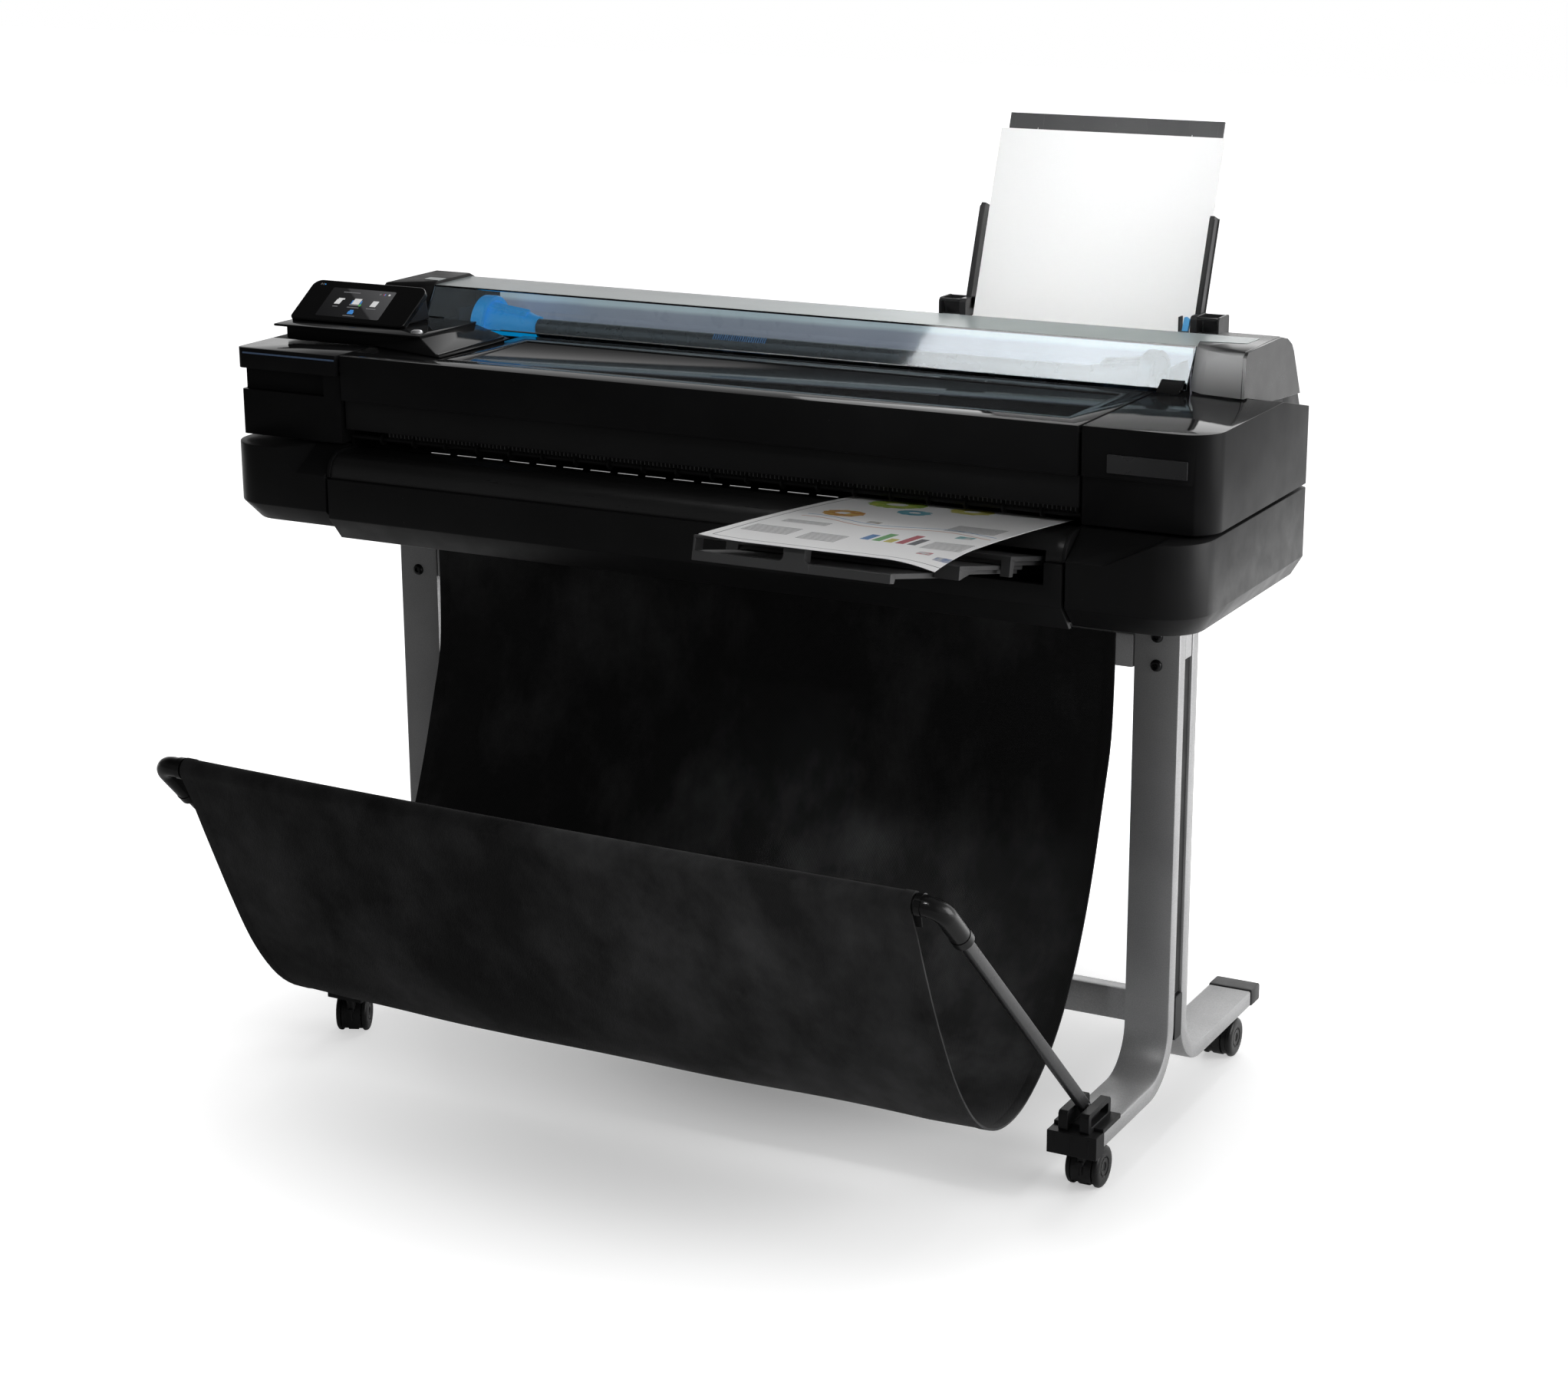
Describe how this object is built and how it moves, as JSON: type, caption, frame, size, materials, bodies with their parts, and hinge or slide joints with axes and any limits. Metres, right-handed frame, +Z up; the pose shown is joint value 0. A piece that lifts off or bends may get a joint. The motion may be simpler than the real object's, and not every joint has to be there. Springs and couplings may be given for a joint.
{
  "type": "large format plotter",
  "caption": "Large format plotter on a caster stand, with a roll under a clear cover, a rear sheet feeder, a touch panel, an output tray and a cloth catch bin.",
  "frame": {"origin": "on the floor, under the middle of the whole object's bounding box", "axes": "+X along the print width to the right as seen from the front, +Y to the back, +Z up"},
  "size_m": [1.317, 0.8959, 1.2051],
  "materials": {
    "silver_paint": "silver-grey speckled paint on bent bar",
    "satin_black": "satin black moulding",
    "gloss_black": "gloss black moulding",
    "matt_black": "matt black",
    "smoked_clear": "clear blue-grey tinted moulding",
    "grey_plastic": "dark grey moulding",
    "blue_plastic": "blue moulding",
    "dark_metal": "dark metallic coating",
    "steel": "plain steel",
    "rail_metal": "plain rail",
    "wheel_rubber": "black rubber",
    "black_cloth": "black woven cloth",
    "white_paper": "white paper",
    "circuit_board": "green board",
    "cyan_tank": "cyan tank",
    "magenta_tank": "magenta tank",
    "yellow_tank": "yellow tank",
    "black_tank": "black tank"
  },
  "bodies": {
    "plotter": {"left_leg": "silver_paint", "right_leg": "silver_paint", "upper_beam": "silver_paint", "lower_brace": "silver_paint", "left_foot_bracket": "satin_black", "right_foot_bracket": "satin_black", "left_rear_foot_cap": "satin_black", "right_rear_foot_cap": "satin_black", "bin_cloth": "black_cloth", "chassis": "matt_black", "left_lower_cover": "satin_black", "right_lower_cover": "satin_black", "left_upper_cover": "satin_black", "right_upper_cover": "satin_black", "rear_cover": "satin_black", "left_end_cap": "satin_black", "right_end_cap": "satin_black", "front_fascia": "satin_black", "output_nose": "satin_black", "lower_front_panel": "satin_black", "control_base": "satin_black", "control_panel": "gloss_black", "ink_tank_cyan": "cyan_tank", "ink_tank_magenta": "magenta_tank", "ink_tank_yellow": "yellow_tank", "ink_tank_black": "black_tank", "carriage_rail": "rail_metal", "carriage_belt": "wheel_rubber", "main_board": "circuit_board", "printed_sheet": "white_paper", "sheet_support": "grey_plastic", "right_sheet_guide": "satin_black", "sheet_stack": "white_paper"},
    "lid": {"main_lid": "gloss_black"},
    "ink_door": {"ink_cover": "gloss_black"},
    "roll_door": {"roll_cover": "smoked_clear"},
    "roll_holder": {"spindle": "matt_black", "left_roll_hub": "blue_plastic", "right_roll_hub": "blue_plastic"},
    "print_carriage": {"carriage": "matt_black"},
    "drive_pulley": {"belt_pulley": "steel"},
    "feed": {"feed_roller": "wheel_rubber"},
    "star_wheels": {"star_wheel_shaft": "steel"},
    "button": {"power_button": "steel"},
    "tray_inner": {"output_tray_inner": "grey_plastic"},
    "tray_middle": {"output_tray_middle": "grey_plastic"},
    "tray_outer": {"output_tray_outer": "grey_plastic"},
    "feeder_extension": {"sheet_support_extension": "grey_plastic"},
    "sheet_guide": {"left_sheet_guide": "satin_black"},
    "bin_frame": {"bin_bar": "dark_metal", "left_bin_arm": "dark_metal", "right_bin_arm": "dark_metal"},
    "left_front_swivel": {"left_front_caster_hood": "satin_black"},
    "right_front_swivel": {"right_front_caster_hood": "satin_black"},
    "left_rear_swivel": {"left_rear_caster_hood": "satin_black"},
    "right_rear_swivel": {"right_rear_caster_hood": "satin_black"},
    "left_front_wheels": {"left_front_caster_wheels": "wheel_rubber"},
    "right_front_wheels": {"right_front_caster_wheels": "wheel_rubber"},
    "left_rear_wheels": {"left_rear_caster_wheels": "wheel_rubber"},
    "right_rear_wheels": {"right_rear_caster_wheels": "wheel_rubber"}
  },
  "joints": [
    {"name": "lid_hinge", "type": "hinge", "parent": "plotter", "child": "lid", "pos_m": [0, 0.148, 0.913], "axis": [-1, 0, 0], "range_deg": [0, 75]},
    {"name": "ink_cover_hinge", "type": "hinge", "parent": "plotter", "child": "ink_door", "pos_m": [-0.58, -0.004, 0.918], "axis": [-1, 0, 0], "range_deg": [0, 72]},
    {"name": "roll_cover_hinge", "type": "hinge", "parent": "plotter", "child": "roll_door", "pos_m": [0, 0.276, 0.9665], "axis": [-1, 0, 0], "range_deg": [0, 80]},
    {"name": "spindle_spin", "type": "hinge", "parent": "plotter", "child": "roll_holder", "pos_m": [0, 0.224, 0.915], "axis": [1, 0, 0], "continuous": true},
    {"name": "carriage_slide", "type": "slide", "parent": "plotter", "child": "print_carriage", "axis": [1, 0, 0], "range_m": [-0.84, 0.015]},
    {"name": "belt_pulley_spin", "type": "hinge", "parent": "plotter", "child": "drive_pulley", "pos_m": [0.46, 0.119, 0.883], "axis": [0, 0, 1], "range_deg": [-5060, 100]},
    {"name": "feed_roller_spin", "type": "hinge", "parent": "plotter", "child": "feed", "pos_m": [0, 0.099, 0.778], "axis": [1, 0, 0], "continuous": true},
    {"name": "star_wheel_spin", "type": "hinge", "parent": "plotter", "child": "star_wheels", "pos_m": [0, -0.0585, 0.8125], "axis": [1, 0, 0], "continuous": true},
    {"name": "power_button_press", "type": "slide", "parent": "plotter", "child": "button", "axis": [0, 0, -1], "range_m": [0, 0.002], "stiffness_N_per_m": 400, "springref_m": -0.001},
    {"name": "tray_inner_slide", "type": "slide", "parent": "plotter", "child": "tray_inner", "axis": [0, 0.9781, -0.2079], "range_m": [0, 0.085]},
    {"name": "tray_middle_slide", "type": "slide", "parent": "tray_inner", "child": "tray_middle", "axis": [0, 0.9781, -0.2079], "range_m": [0, 0.1]},
    {"name": "tray_outer_slide", "type": "slide", "parent": "tray_middle", "child": "tray_outer", "axis": [0, 0.9781, -0.2079], "range_m": [0, 0.085]},
    {"name": "feeder_extension_slide", "type": "slide", "parent": "plotter", "child": "feeder_extension", "axis": [0, -0.3338, -0.9426], "range_m": [0, 0.1]},
    {"name": "sheet_guide_slide", "type": "slide", "parent": "plotter", "child": "sheet_guide", "axis": [-1, 0, 0], "range_m": [0, 0.033]},
    {"name": "bin_fold", "type": "hinge", "parent": "plotter", "child": "bin_frame", "pos_m": [0, -0.078, 0.107], "axis": [-1, 0, 0], "range_deg": [0, 35], "deforming": ["bin_cloth"]},
    {"name": "left_front_swivel_turn", "type": "hinge", "parent": "plotter", "child": "left_front_swivel", "pos_m": [-0.527, -0.081, 0.05], "axis": [0, 0, 1], "continuous": true},
    {"name": "right_front_swivel_turn", "type": "hinge", "parent": "plotter", "child": "right_front_swivel", "pos_m": [0.527, -0.081, 0.05], "axis": [0, 0, 1], "continuous": true},
    {"name": "left_rear_swivel_turn", "type": "hinge", "parent": "plotter", "child": "left_rear_swivel", "pos_m": [-0.527, 0.4095, 0.05], "axis": [0, 0, 1], "continuous": true},
    {"name": "right_rear_swivel_turn", "type": "hinge", "parent": "plotter", "child": "right_rear_swivel", "pos_m": [0.527, 0.4095, 0.05], "axis": [0, 0, 1], "continuous": true},
    {"name": "left_front_wheel_spin", "type": "hinge", "parent": "left_front_swivel", "child": "left_front_wheels", "pos_m": [-0.53514, -0.06273, 0.026], "axis": [0.9135, 0.4067, 0], "continuous": true},
    {"name": "right_front_wheel_spin", "type": "hinge", "parent": "right_front_swivel", "child": "right_front_wheels", "pos_m": [0.527, -0.061, 0.026], "axis": [1, 0, 0], "continuous": true},
    {"name": "left_rear_wheel_spin", "type": "hinge", "parent": "left_rear_swivel", "child": "left_rear_wheels", "pos_m": [-0.527, 0.3895, 0.026], "axis": [1, 0, 0], "continuous": true},
    {"name": "right_rear_wheel_spin", "type": "hinge", "parent": "right_rear_swivel", "child": "right_rear_wheels", "pos_m": [0.527, 0.3895, 0.026], "axis": [1, 0, 0], "continuous": true}
  ],
  "couplings": [
    {"joint": "belt_pulley_spin", "follows": "carriage_slide", "rad_per_m": 104.7},
    {"joint": "star_wheel_spin", "follows": "feed_roller_spin", "ratio": -1.6}
  ]
}
